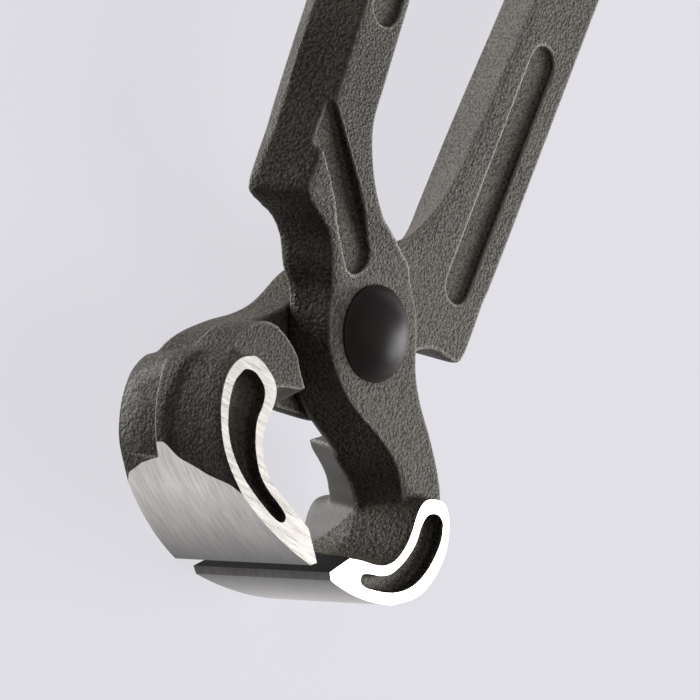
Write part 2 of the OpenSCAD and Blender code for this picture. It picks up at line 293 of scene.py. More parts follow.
def forged_skin(colours):
    """Black forged scale with an orange-peel surface, lightened to the steel along its convex edges as
    partly wear and partly a painted highlight.
    """
    made, shader, place = coat("forged_skin", roughness=0.4, specular=0.14)
    peel_size, pit_size, patch_size, peel_depth = 0.27 * MM, 0.6 * MM, 14 * MM, 0.3 * MM
    peel = grain(place, peel_size, 1.0)
    pits = grain(place, pit_size, 1.0)
    patches = grain(place, patch_size, 3.0)
    tone = (patches * 0.4 + peel * 0.6).clipped(0.42, 0.58)
    # the convex edges take the lighter edge colour, partly wear and partly a painted highlight
    rubbed = place.node("ShaderNodeAttribute", {"attribute_name": "rubbed"}, output="Fac")
    rubbed = (rubbed * (0.55 + pits * 0.9)).clipped(0.3, 0.8)
    feed(
        shader,
        Base_Color=blend_colours(rubbed, blend_colours(tone, colours.skin, colours.worn), colours.edge),
        Roughness=0.42 + patches.clipped(0.3, 0.7) * 0.06 + pits * 0.08,
        Normal=relief(peel * 0.85 + pits * 0.15, 1.0, peel_depth),
    )
    return made


def sheared_skin(name, colours, painted_light_share, shine):
    """Smoother skin in a share of the sheared colour, where shears or a file took off the scale; at a full
    share it is lighter than the skin as painted light, at a small share darker as painted shade.
    """
    made, shader, place = coat(name, roughness=0.5, specular=shine)
    speckle_size, scuff_size, scuff_depth = 0.3 * MM, 2.2 * MM, 0.12 * MM
    speckle = grain(place, speckle_size, 2.0)
    scuffs = grain(place, scuff_size, 4.0, 0.7)
    tone = (scuffs * 0.6 + speckle * 0.4).clipped(0.38, 0.62)
    feed(
        shader,
        Base_Color=blend_colours(tone, *shades(colours.sheared_painted_light, painted_light_share * 0.72, painted_light_share)),
        Roughness=0.42 + scuffs * 0.16,
        Normal=relief(speckle * 0.7 + scuffs * 0.3, 0.7, scuff_depth),
    )
    return made


def ground_steel(name, colours, stretch, edge_shade_share, outside_light_share):
    """Steel with fine parallel lines from the wheel, drawn out where stretch is small.

    The shares of the ground colour hold at the cutting edges and on the jaw's outside; the rise between
    them is painted shade towards the edges and painted reflection outside.
    """
    made, shader, place = coat(name, roughness=0.3, metallic=1.0)
    line_size, cloud_size, line_depth, outside = 0.22 * MM, 5 * MM, 0.06 * MM, 18 * MM
    drawn = place.node("ShaderNodeMapping", Vector=place, Scale=stretch)
    lines = grain(drawn, line_size, 3.0, 0.75)
    cloud = grain(place, cloud_size, 2.0)
    across = place.node("ShaderNodeSeparateXYZ", Vector=place)
    # painted shade towards the cutting edges, painted reflection on the jaw's outside
    outward = across.node("ShaderNodeMath", {"operation": "ABSOLUTE"}, i0=across).clipped(0, outside)
    painted_light_and_shade = blend_colours(outward, *shades(colours.ground, edge_shade_share, outside_light_share))
    lined = (lines * 0.75 + cloud * 0.25).clipped(0.36, 0.62) * 0.32 + 0.68
    feed(
        shader,
        Base_Color=painted_light_and_shade.node("ShaderNodeVectorMath", {"operation": "SCALE"}, i0=painted_light_and_shade, Scale=lined),
        Roughness=0.24 + lines.clipped(0.3, 0.7) * 0.16,
        Normal=relief(lines, 0.6, line_depth),
    )
    return made


def satin_rivet(colours):
    """Dark satin steel, smoother than the forging."""
    made, shader, place = coat("satin_rivet", roughness=0.34, specular=0.14)
    smudge_size, fine_size, fine_depth = 2.4 * MM, 0.3 * MM, 0.06 * MM
    smudge = grain(place, smudge_size, 4.0)
    fine = grain(place, fine_size, 2.0)
    feed(
        shader,
        Base_Color=blend_colours(smudge.clipped(0.35, 0.65), *shades(colours.dome, 0.5, 1)),
        Roughness=0.28 + smudge * 0.12 + fine * 0.05,
        Normal=relief(fine * 0.6 + smudge * 0.4, 0.3, fine_depth),
    )
    return made


# Mesh tools


def curve_through(p, q, r, s, t):
    """The value between q and r, at share t, on a smooth curve that comes from p and goes on to s."""
    slope, bend, twist = r - p, 2 * p - 5 * q + 4 * r - s, 3 * q - p - 3 * r + s
    return 0.5 * (2 * q + slope * t + bend * t * t + twist * t**3)


def smooth_between(rows, steps=STEPS):
    """Rows of equal length, with steps - 1 rows added between each two on a curve through them all."""
    made = []
    for i in range(len(rows) - 1):
        a, b, c, d = rows[max(i - 1, 0)], rows[i], rows[i + 1], rows[min(i + 2, len(rows) - 1)]
        for k in range(steps):
            t = k / steps
            made.append([curve_through(*four, t) for four in zip(a, b, c, d)])
    return made + [rows[-1]]


def loft(mesh, rings):
    """Bridges a row of closed rings of points and closes both ends."""
    loops = []
    for ring in rings:
        verts = [mesh.verts.new(p) for p in ring]
        loops.append([mesh.edges.new((verts[i - 1], verts[i])) for i in range(len(verts))])
    faces = []
    for a, b in zip(loops, loops[1:]):
        faces += bmesh.ops.bridge_loops(mesh, edges=a + b)["faces"]
    for end in (loops[0], loops[-1]):
        faces += bmesh.ops.contextual_create(mesh, geom=end)["faces"]
    bmesh.ops.recalc_face_normals(mesh, faces=faces)


def prism(mesh, outline, low, high):
    """Extrudes a flat outline from z = low to z = high."""
    base = mesh.faces.new([mesh.verts.new((x, y, low)) for x, y in outline])
    up = bmesh.ops.extrude_face_region(mesh, geom=[base])["geom"]
    moved = [g for g in up if isinstance(g, bmesh.types.BMVert)]
    bmesh.ops.translate(mesh, verts=moved, vec=(0, 0, high - low))
    faces = {f for v in moved for f in v.link_faces} | {base}
    bmesh.ops.recalc_face_normals(mesh, faces=list(faces))
    return list({v for f in faces for v in f.verts})


def as_object(mesh, name, materials=()):
    """Turns a bmesh into an object at the origin."""
    data = bpy.data.meshes.new(name)
    mesh.to_mesh(data)
    mesh.free()
    for m in materials:
        data.materials.append(m)
    made = bpy.data.objects.new(name, data)
    bpy.context.scene.collection.objects.link(made)
    return made


def settle(obj):
    """Applies the object's modifiers to its mesh."""
    graph = bpy.context.evaluated_depsgraph_get()
    data = bpy.data.meshes.new_from_object(obj.evaluated_get(graph))
    old, name = obj.data, obj.data.name
    obj.modifiers.clear()
    obj.data = data
    bpy.data.meshes.remove(old)
    data.name = name


def knit(obj, cell):
    """Joins overlapping solids into one even skin."""
    skin = obj.modifiers.new("skin", "REMESH")
    skin.mode, skin.voxel_size, skin.use_smooth_shade = "VOXEL", cell, True
    settle(obj)


def cut_away(obj, cutter):
    """Takes the cutter out of the object; the new faces keep the cutter's material."""
    cut = obj.modifiers.new("cut", "BOOLEAN")
    cut.operation, cut.object, cut.solver, cut.material_mode = "DIFFERENCE", cutter, "MANIFOLD", "TRANSFER"
    settle(obj)
    data = cutter.data
    bpy.data.objects.remove(cutter)
    bpy.data.meshes.remove(data)


def soften(obj, passes):
    """Rounds the edges as a forging die leaves them."""
    mesh = bmesh.new()
    mesh.from_mesh(obj.data)
    for _ in range(passes):
        bmesh.ops.smooth_vert(
            mesh, verts=mesh.verts, factor=0.5, use_axis_x=True, use_axis_y=True, use_axis_z=True
        )
    mesh.to_mesh(obj.data)
    mesh.free()


def thin_out(obj, share):
    """Keeps a share of the faces, mostly where the form turns."""
    fewer = obj.modifiers.new("fewer", "DECIMATE")
    fewer.ratio = share
    settle(obj)


def dress_edges(obj):
    """Smooth shading all over, with sharp edges round and between the ground faces only."""
    mesh = bmesh.new()
    mesh.from_mesh(obj.data)
    rubbed = mesh.verts.layers.float.new("rubbed")
    for face in mesh.faces:
        face.smooth = True
    for edge in mesh.edges:
        kinds = {f.material_index if f.material_index in (BEVEL, ENDS) else SKIN for f in edge.link_faces}
        limit = GROUND_SHARP if max(kinds) else SKIN_SHARP
        edge.smooth = len(kinds) == 1 and edge.calc_face_angle(0) < limit
    # how sharply the form turns outwards at each point: the mask of the lighter edge colour, partly wear
    # and partly a painted highlight
    for vert in mesh.verts:
        turn = max(edge.calc_face_angle_signed(0) for edge in vert.link_edges)
        vert[rubbed] = min(1, max(0, turn / WORN_AND_HIGHLIT_TURN))
    mesh.to_mesh(obj.data)
    mesh.free()


# The lever's shape


class LeverShape:
    """The outline of one lever in the closed position, rivet axis at the origin."""

    def __init__(self, s):
        self.s = s
        self.land = Vector((s.edge_land, -s.edge_land)) * math.sqrt(0.5) + Vector((0, -s.edge_reach))
        self.bevel_centre = self.land + Vector((0, s.bevel_radius))

    def hub(self, turn, share):
        """A point round the rivet: its turn in degrees and its share of the hub's radius."""
        r, a = self.s.hub_radius * share, math.radians(turn)
        return (r * math.cos(a), r * math.sin(a))

    def jaw(self, side, reach):
        """A point as shares of the jaw's half span and of the edge's reach."""
        return (self.s.jaw_half * side, -self.s.edge_reach * reach)

    def mouth(self, side, reach):
        """A point as shares of the mouth's half span and of the edge's reach."""
        return (self.s.mouth_half * side, -self.s.edge_reach * reach)

    def heel(self, side, rise):
        """A point as shares of the heel's half span and of its height."""
        return (-self.s.heel_x * side, self.s.heel_y * rise)

    def body_rows(self):
        """Stations down the lever, from the handle's end to the jaw.

        Each row holds outer x, y, inner x, y, lapped inner x, y, thickness, draft and mouth draft.
        """
        s = self.s
        grip = s.overall - s.edge_reach - s.heel_y
        # along the grip: bow, sweep, width, slant, thickness, draft
        handle_shares = [
            (1.000, 0.10, 1.00, 0.40, 0.28, 0.50, 0.95), (0.995, 0.11, 0.98, 0.66, 0.38, 0.76, 1.0),
            (0.982, 0.15, 0.94, 0.86, 0.46, 0.93, 1.0), (0.962, 0.22, 0.86, 0.95, 0.50, 0.99, 1.0),
            (0.925, 0.36, 0.70, 0.99, 0.56, 1, 1.0), (0.870, 0.60, 0.46, 1.00, 0.60, 1, 1.0),
            (0.800, 0.84, 0.22, 1.01, 0.64, 1, 1.0), (0.710, 0.98, 0.06, 1.00, 0.66, 1, 1.0),
            (0.610, 1.00, 0.00, 0.98, 0.68, 1, 1.0), (0.500, 0.88, 0.00, 0.95, 0.68, 1, 1.10),
            (0.400, 0.68, 0.00, 0.93, 0.68, 1, 1.25), (0.300, 0.45, 0.00, 0.92, 0.68, 1, 1.50),
            (0.220, 0.30, 0.00, 0.95, 0.68, 1, 1.75), (0.168, 0.21, 0.00, 0.98, 0.73, 1, 1.90),
            (0.115, 0.12, 0.00, 1.04, 0.94, 1, 2.05),
        ]
        rows = []
        rounded_end = 0.95
        for along, bow, sweep, width, slant, thick, draft in handle_shares:
            x, y = -s.heel_x - s.bow * bow + s.sweep * sweep, s.heel_y + grip * along
            wide = s.handle_width * width
            start = x + ((s.handle_width - wide) / 2 if along > rounded_end else 0)
            outer, lapped = (start + s.face_inset, y), (start + wide, y)
            inner = (start + wide - s.handle_slant * slant, y)
            rows.append((*outer, *inner, *lapped, s.handle * thick, draft, 0))
        hub, jaw, mouth, heel = self.hub, self.jaw, self.mouth, self.heel
        neck_shares = [
            (heel(0.966, 2.17), heel(0.605, 2.47), heel(0.425, 2.58), 1, 2.1, 0),
            (heel(0.962, 1.57), heel(0.505, 1.95), heel(0.340, 2.12), 1, 1.95, 0),
            (heel(0.957, 1.17), heel(0.392, 1.62), heel(0.230, 1.81), 0.96, 1.8, 0),
            (heel(0.931, 1.04), heel(0.294, 1.44), heel(0.140, 1.56), 0.88, 1.67, 0.1),
            (heel(0.862, 0.97), heel(0.196, 1.37), heel(0.100, 1.45), 0.74, 1.19, 0.08),
            (heel(0.733, 0.89), heel(0.110, 1.31), heel(0.055, 1.34), 0.58, 1.04, 0),
            (heel(0.611, 0.74), hub(92, 1.29), hub(92, 1.29), 0.42, 1.38, 0.04),
            (heel(0.518, 0.44), hub(80, 1.22), hub(80, 1.22), 0.28, 1.6, 0),
            (hub(169, 1.19), hub(66, 1.10), hub(66, 1.10), 0, 1.2, 0),
            (hub(184, 1.06), hub(46, 1.01), hub(46, 1.01), 0, 0.8, 0),
            (hub(198, 1.02), hub(25, 0.98), hub(25, 0.98), 0, 0.6, 0),
            (hub(215, 1.00), hub(8, 1.01), hub(8, 1.01), 0, 0.7, 0.1),
            (hub(233, 1.00), hub(354, 1.13), hub(354, 1.13), 0, 0.9, 0.3),
            (hub(251, 1.04), jaw(0.482, 0.093), jaw(0.482, 0.093), 0, 1, 0.7),
            (hub(267, 1.12), jaw(0.561, 0.150), jaw(0.561, 0.150), 0, 1, 0.72),
            (mouth(0.160, 0.322), jaw(0.660, 0.209), jaw(0.660, 0.209), 0, 1, 0.82),
            (mouth(0.383, 0.342), jaw(0.751, 0.271), jaw(0.751, 0.271), 0, 1, 1.02),
            (mouth(0.593, 0.370), jaw(0.832, 0.333), jaw(0.832, 0.333), 0, 1, 1.1),
            (mouth(0.765, 0.412), jaw(0.895, 0.395), jaw(0.895, 0.395), 0, 1, 0.9),
            (mouth(0.895, 0.475), jaw(0.938, 0.463), jaw(0.938, 0.463), 0, 0.9, 0.6),
            (mouth(1.040, 0.590), jaw(0.955, 0.565), jaw(0.955, 0.565), 0, 0.5, 0),
        ]
        for outer, inner, lapped, rise, draft, fall in neck_shares:
            rows.append((*outer, *inner, *lapped, s.cheek + (s.handle - s.cheek) * rise, draft, fall))
        return smooth_between(rows)

    def body_ring(self, row):
        """The section of the lever at a station, from the open face round to the parting line."""
        s = self.s
        outer, inner, lapped = Vector(row[0:2]), Vector(row[2:4]), Vector(row[4:6])
        top, inward = row[6], (inner - outer).normalized()
        crest = outer - inward * s.draft * row[7] - Vector((0, s.mouth_draft * row[8]))
        c, land = s.corner, s.handle * PARTING
        # the parting line climbs the side past the heel
        past_heel = min(1, max(0, outer.y / s.heel_y - 1))
        parting = land + s.handle * 0.12 * past_heel
        from_heel = min(1, abs(outer.y / s.heel_y - 1))
        foot = crest + (outer - crest).normalized() * s.seam * (from_heel + past_heel)
        points = [
            (outer, top - c), (outer + inward * c * 0.3, top - c * 0.3), (outer + inward * c, top),
            (inner - inward * c, top), (inner - inward * c * 0.3, top - c * 0.3), (inner, top - c),
            (lapped, land), (lapped, s.lap), (foot, s.lap), (crest, parting),
        ]
        return [(*p, z) for p, z in points]

    def wall_rows(self):
        """Stations along the jaw, from its edge to its round top.

        Each row holds outside x, y, inside x, y, and three shares of the draft: inside the mouth,
        out from the outside at the stepped end face, and along the jaw where the parting line bends.
        """
        s, jaw, mouth = self.s, self.jaw, self.mouth
        wall_shares = [
            (jaw(-0.030, 1.100), mouth(-0.120, 0.960), 0.0, 0, 0),
            (jaw(0.060, 1.085), mouth(0.030, 0.930), 0.1, 0, 0),
            (jaw(0.140, 1.070), mouth(0.130, 0.905), 0.3, 0, 0),
            (jaw(0.245, 1.062), mouth(0.250, 0.889), 0.6, 0, 0),
            (jaw(0.365, 1.045), mouth(0.400, 0.868), 0.9, 0, 0),
            (jaw(0.510, 1.008), mouth(0.590, 0.848), 1.0, 0, 0),
            (jaw(0.640, 0.952), mouth(0.750, 0.820), 1.0, -0.05, 0),
            (jaw(0.765, 0.895), mouth(0.872, 0.774), 1.0, -0.04, 0),
            (jaw(0.862, 0.829), mouth(0.940, 0.718), 1.0, 0.35, 0),
            (jaw(0.930, 0.757), mouth(0.970, 0.672), 1.0, 0.42, 0),
            (jaw(0.978, 0.684), mouth(0.978, 0.621), 1.0, 0.27, 0.3),
            (jaw(1.003, 0.600), mouth(0.974, 0.565), 1.0, 0.04, 0.75),
            (jaw(0.990, 0.531), mouth(1.000, 0.514), 1.0, -0.27, 1.15),
            (jaw(0.950, 0.483), mouth(1.070, 0.480), 0.8, -0.3, 1.4),
            (jaw(0.893, 0.455), mouth(1.185, 0.458), 0.6, -0.15, 1.4),
            (jaw(0.845, 0.447), mouth(1.270, 0.449), 0.4, 0, 1.4),
        ]
        return smooth_between([(*a, *b, *shares) for a, b, *shares in wall_shares])

    def wall_ring(self, row):
        """The section of the jaw at a station; its skin leans in towards both canted end faces."""
        s = self.s
        outside, inside = Vector(row[0:2]), Vector(row[2:4])
        inner_draft, stepped, bend = (s.draft * share for share in row[4:7])
        outward = (outside - inside).normalized()
        crest, swell = outside + outward * s.draft, inside - outward * inner_draft
        tilt, turn, past, proud = math.tan(s.end_cant), 0.8 * MM, 2.5 * MM, 0.05 * MM
        out_end, in_end = (s.jaw_width / 2 - tilt * edge.x for edge in (outside, inside))

        def run(side, foot, turned_in):
            """The skin from inside to outside at one end face, where it turns in."""
            out_lean, in_lean = (s.draft - foot) / out_end, inner_draft / in_end
            points = [
                (inside - outward * in_lean * turn, in_end - turn),
                (inside + outward * turned_in * past / turn, in_end + past),
                (outside + outward * (foot - s.round_over * past / turn), out_end + past),
                (outside + outward * (foot + out_lean * turn), out_end - turn),
            ]
            return [(*p, z * side) for p, z in points]

        # hollows beside the parting line: the share of the draft and of the jaw's width
        hollow_shares = ((0.06, 0.22), (0.47, 0.06))
        hollows = [(*(outside + outward * s.draft * a), -bend - s.jaw_width * b) for a, b in hollow_shares]
        parting = [(*crest, -bend), (*crest, s.flash_width)]
        plain, step = run(-1, -s.round_over, s.mouth_round), run(1, stepped + proud, s.round_over)
        return plain + hollows + parting + step[::-1] + [(*swell, 0)]

    def trim_rings(self):
        """What is trimmed off beside the flash, fading out towards the jaw's round top."""
        s = self.s
        first, last, faded = 6 * STEPS, 13 * STEPS, 10
        over, rise, clearance, lift, past_end = 0.3 * MM, 0.2 * MM, 4 * MM, 0.8 * MM, 1 * MM
        rows = self.wall_rows()[first:last + 1]
        rings = []
        for i, row in enumerate(rows):
            outside, inside = Vector(row[0:2]), Vector(row[2:4])
            outward = (outside - inside).normalized()
            end = s.jaw_width / 2 - math.tan(s.end_cant) * outside.x + past_end
            fade = min(1, (len(rows) - 1 - i) / faded)
            step = s.flash_step * fade - rise * (1 - fade)
            crest, near = outside + outward * (s.draft + over), outside + outward * (s.draft - step)
            low, clear = outside + outward * (s.draft * row[5] + over * (1 - fade)), outward * clearance
            z = s.flash_width
            beside_flash = ((crest, z - over), (crest + clear, z - over))
            at_end = ((low + clear, end), (low, end))
            corners = (*beside_flash, *at_end, (near, z + lift))
            rings.append([(*corner, height) for corner, height in corners])
        return rings

    def shoulder_rings(self):
        """The shoulder past the lap: top edge, mouth edge, mouth draft."""
        s, jaw, mouth = self.s, self.jaw, self.mouth
        shoulder_shares = [
            (mouth(0.550, 0.322), mouth(0.460, 0.360), 1), (jaw(0.440, 0.277), mouth(0.530, 0.388), 1),
            (jaw(0.535, 0.250), mouth(0.665, 0.414), 0.95), (jaw(0.640, 0.237), mouth(0.795, 0.448), 0.9),
            (jaw(0.735, 0.246), mouth(0.870, 0.487), 0.8), (jaw(0.828, 0.292), mouth(0.930, 0.522), 0.65),
            (jaw(0.905, 0.372), mouth(0.990, 0.557), 0.5), (jaw(0.950, 0.470), mouth(1.060, 0.592), 0.5),
            (jaw(0.960, 0.570), mouth(1.080, 0.622), 0.5),
        ]
        rings = []
        into_lever = 0.5 * MM
        z = s.lap + into_lever
        for row in smooth_between([(*a, *b, share) for a, b, share in shoulder_shares], 3):
            top, low = Vector(row[0:2]), Vector(row[2:4])
            foot = low + (low - top).normalized() * s.mouth_draft * row[4]
            rings.append([(*foot, z), (*top, z), (*top, -s.shoulder), (*low, -s.shoulder)])
        return rings

    def pocket_outline(self):
        """The outline of the pocket in an end face."""
        jaw, mouth = self.jaw, self.mouth
        pocket_shares = [
            jaw(0.893, 0.514), jaw(0.925, 0.579), jaw(0.917, 0.644), jaw(0.893, 0.703), jaw(0.854, 0.760),
            jaw(0.798, 0.811), jaw(0.723, 0.856), jaw(0.632, 0.893), jaw(0.530, 0.921), jaw(0.435, 0.941),
            jaw(0.368, 0.952), jaw(0.316, 0.952), jaw(0.292, 0.938), mouth(0.469, 0.915),
            mouth(0.580, 0.893), mouth(0.722, 0.873), mouth(0.852, 0.842), mouth(0.957, 0.791),
            mouth(1.037, 0.732), mouth(1.093, 0.661), mouth(1.093, 0.599), mouth(1.117, 0.551),
            mouth(1.173, 0.523), mouth(1.290, 0.503), jaw(0.893, 0.514),
        ]
        return smooth_between(pocket_shares)[:-1]


def capsule(start, end, radius, steps=16):
    """Outline of a slot with round ends from start to end."""
    a, b = Vector(start), Vector(end)
    turn = math.atan2(b.y - a.y, b.x - a.x)
    made = []
    for centre, first in ((b, turn - math.pi / 2), (a, turn + math.pi / 2)):
        for k in range(steps + 1):
            angle = first + math.pi * k / steps
            made.append(centre + radius * Vector((math.cos(angle), math.sin(angle))))
    return made


def take_out(lever, cutter, name, steel):
    """Takes a bmesh cutter out of the lever and leaves the cut faces in the given steel."""
    cut_away(lever, as_object(cutter, name, [steel]))


def round_cutter(radius, depth, middle, segments):
    """A round cutter on the rivet's axis, with its middle at the given height."""
    cutter = bmesh.new()
    bmesh.ops.create_cone(
        cutter, cap_ends=True, segments=segments, radius1=radius, radius2=radius, depth=depth,
        matrix=Matrix.Translation((0, 0, middle)),
    )
    return cutter


def sink_recesses(lever, shape, skin):
    """Sinks the neck's slot, the slot on the lapped side and the grip's long panel."""
    s, recesses = shape.s, bmesh.new()
    over_slot, over_panel, under_lap = 6 * MM, 2 * MM, 3 * MM

    # the neck's slot climbs with the open face, from the cheek towards the handle
    start, end = Vector(shape.hub(139, 1.25)), Vector(shape.heel(1.12, 2.42))
    climb = s.handle - s.cheek
    floor = s.cheek + climb * 0.36 - s.slot_depth
    slot = prism(recesses, capsule(start, end, s.slot_width / 2), floor, floor + over_slot)
    run = end - start
    for v in slot:
        v.co.z += climb * 0.64 * (Vector(v.co.xy) - start).dot(run) / run.length**2

    # the slot on the lapped side
    low = (s.slot_width - s.heel_x, s.heel_y + s.handle * 0.93)
    high = (low[0], low[1] + s.slot_length - s.slot_width)
    prism(recesses, capsule(low, high, s.slot_width / 2), -under_lap, s.lap + s.slot_depth)

    # the panel follows the middle of the grip's open face and has round ends
    first, last, parts = 5 * STEPS, 13 * STEPS, 12
    rows = shape.body_rows()[first:last + 1]
    middles = [(Vector(row[0:2]) + Vector(row[2:4])) / 2 for row in rows]
    half = s.panel_width / 2
    angles = [math.pi * k / parts for k in range(1, parts)]
    tip = [Vector((math.cos(a), math.sin(a))) * half for a in angles]
    outline = [middles[0] + t for t in tip] + [m - Vector((half, 0)) for m in middles]
    outline += [middles[-1] - t for t in tip] + [m + Vector((half, 0)) for m in reversed(middles)]
    prism(recesses, outline, s.handle - s.panel_depth, s.handle + over_panel)
    take_out(lever, recesses, "recesses", skin)


def sink_pocket(lever, shape, side, skin):
    """Sinks the pocket in one end face; its floor follows the face's cant."""
    s, pocket = shape.s, bmesh.new()
    near, past = 0.5 * MM, 20 * MM
    for v in prism(pocket, shape.pocket_outline(), *sorted((near * side, past * side))):
        if abs(v.co.z) < 2 * near:
            v.co.z = side * (s.jaw_width / 2 - s.pocket_depth - math.tan(s.end_cant) * v.co.x)
    take_out(lever, pocket, "pocket", skin)


def mark_sheared_painted_light(lever, s):
    """Marks the faces in the mouth, on the far half and leaning away, where the flash was sheared off;
    their lighter skin is painted light from behind.
    """
    mouth_middle, turned = -s.edge_reach * 0.7, 3 * MM
    for face in lever.data.polygons:
        x, y, z = face.center
        faces_mouth = face.normal.x * x + face.normal.y * (y - mouth_middle) < -turned
        faces_away = -0.8 < face.normal.z < 0
        past_hub = -s.edge_reach * 0.56 + 0.87 * z < y < -s.hub_radius
        # these faces take the lighter skin as painted light from behind
        if past_hub and x > 0 and z < s.handle * PARTING and faces_mouth and faces_away:
            face.material_index = SHEARED_PAINTED_LIGHT


def trim_flash(lever, shape, skin):
    """Trims the flash on one side of the parting line."""
    flash = bmesh.new()
    loft(flash, shape.trim_rings())
    take_out(lever, flash, "flash", skin)


def bevel_mouth(lever, s, steel):
    """Cuts the crisp bevel inside the mouth, behind the cutting edge; its cut faces take a dark copy of the
    skin as painted shade.
    """
    reach, behind, past = -s.edge_reach, 12 * MM, 20 * MM
    slope, length_of_cut = Vector((0.70, 0.714)), 8 * MM
    rise = slope * length_of_cut
    bevel, top = bmesh.new(), reach + rise.y
    prism(bevel, [(0, reach), (rise.x, top), (-behind, top), (-behind, reach)], -past, past)
    take_out(lever, bevel, "inner_bevel", steel)


def grind_bevel(lever, shape, steel):
    """Grinds the land behind the cutting edge and the round bevel under the jaw."""
    s, wheel = shape.s, bmesh.new()
    reach, behind, past, deep = -s.edge_reach, 12 * MM, 20 * MM, 60 * MM
    sweep, parts = math.radians(50), 60
    angles = [sweep * k / parts for k in range(parts + 1)]
    arc = [shape.bevel_centre + s.bevel_radius * Vector((math.sin(a), -math.cos(a))) for a in angles]
    outline = [(0, reach), *arc, (deep, arc[-1].y), (deep, -deep), (-behind, -deep), (-behind, reach)]
    prism(wheel, outline, -past, past)
    take_out(lever, wheel, "wheel", steel)


def grind_end(lever, s, side, steel):
    """Grinds one end face of the jaw flat, at its cant."""
    wide, thick, below = 120 * MM, 20 * MM, 20 * MM
    block = bmesh.new()
    corners = bmesh.ops.create_cube(block, size=1)["verts"]
    bmesh.ops.scale(block, verts=corners, vec=(wide, wide, thick))
    bmesh.ops.translate(block, verts=corners, vec=(0, -below, thick / 2))
    bmesh.ops.rotate(block, verts=corners, matrix=Matrix.Rotation(s.end_cant, 3, "Y"))
    bmesh.ops.translate(block, verts=corners, vec=(0, 0, s.jaw_width / 2))
    if side < 0:
        bmesh.ops.scale(block, verts=corners, vec=(1, 1, -1))
        bmesh.ops.recalc_face_normals(block, faces=block.faces)
    take_out(lever, block, "end_block", steel)


def forge(s, steels):
    """Forges, pierces and grinds one lever in the closed position and returns its object."""
    shape, skin = LeverShape(s), steels[SKIN]
    mesh = bmesh.new()
    loft(mesh, [shape.body_ring(row) for row in shape.body_rows()])
    loft(mesh, [shape.wall_ring(row) for row in shape.wall_rows()])
    loft(mesh, shape.shoulder_rings())
    lever = as_object(mesh, "lever", steels)
    knit(lever, s.grain)
    sink_recesses(lever, shape, skin)
    for side in (1, -1):
        sink_pocket(lever, shape, side, skin)
    # room under the lap for the other lever's hub
    room = 30 * MM
    hub_room = round_cutter(s.hub_radius + s.shoulder_gap, room, s.lap - room / 2, segments=96)
    take_out(lever, hub_room, "hub_room", skin)
    knit(lever, s.grain)
    soften(lever, s.softness)
    thin_out(lever, s.kept)

    # crisp work on the finished forging
    mark_sheared_painted_light(lever, s)
    trim_flash(lever, shape, skin)
    bevel_mouth(lever, s, steels[PAINTED_SHADE])
    through = 40 * MM
    take_out(lever, round_cutter(s.bore, through, 0, segments=64), "drill", skin)
    grind_bevel(lever, shape, steels[BEVEL])
    for side in (1, -1):
        grind_end(lever, s, side, steels[ENDS])
    dress_edges(lever)
    return lever


# Operators


def place_lever(source, name, body, turned):
    """Bakes a lever's place at rest into a copy of the forging."""
    s = bpy.context.scene.nippers_forging
    half_open = math.asin(s.jaw_gap / 2 / s.edge_reach)
    matrix = Matrix.Translation(pivot)
    if turned:
        matrix = matrix @ Matrix.Rotation(math.pi, 4, "Y")
    matrix = matrix @ Matrix.Rotation(half_open, 4, "Z")
    made = source.copy()
    made.data = source.data.copy()
    made.name = made.data.name = name
    bpy.context.scene.collection.objects.link(made)
    made.data.transform(matrix)
    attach(made, body)
    return made


class NIPPERS_OT_levers(bpy.types.Operator):
    """Forge and grind both levers"""

    bl_idname = "nippers.levers"
    bl_label = "Levers"

    def execute(self, context):
        colours = context.scene.nippers_finishes
        steels = [
            forged_skin(colours),
            # painted shade and reflection across the bevel; the ends take one lower share, a darker copy as
            # painted shade
            ground_steel("ground_bevel", colours, ROUND_JAW, edge_shade_share=0.06, outside_light_share=1.25),
            ground_steel("ground_ends", colours, ACROSS_JAW, edge_shade_share=0.72, outside_light_share=0.72),
            # lighter and darker copies of the skin: painted light from behind on the sheared faces, painted
            # shade on the inner bevel
            sheared_skin("sheared_skin", colours, painted_light_share=1, shine=0.3),
            # painted shade: the inner bevel in the mouth takes a dark copy of the skin
            sheared_skin("blackened_edge", colours, painted_light_share=0.12, shine=0.03),
        ]
        lever = forge(context.scene.nippers_forging, steels)
        front = place_lever(lever, "front_lever_forging", "front", False)
        rear = place_lever(lever, "rear_lever_forging", "rear", True)
        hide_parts("front_lever")
        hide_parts("rear_lever")
        bpy.data.objects.remove(lever)
        return {"FINISHED"}


def dome_profile(radius, rise, rim, steps=14):
    """Points from the foot of a dome to its top, with a rounded foot."""
    ball = (radius**2 + rise**2) / (2 * rise)
    last = math.asin(min(1, radius / ball))
    points = [(radius - rim * 0.15, 0), (ball * math.sin(last) - rim * 0.02, rim * 0.6)]
    for k in range(1, steps + 1):
        angle = last * (1 - k / steps)
        r, z = ball * math.sin(angle), ball * math.cos(angle) - ball + rise
        # points lower down would lie inside the rounded foot
        if z >= rim * 1.05:
            points.append((r, z))
    return points


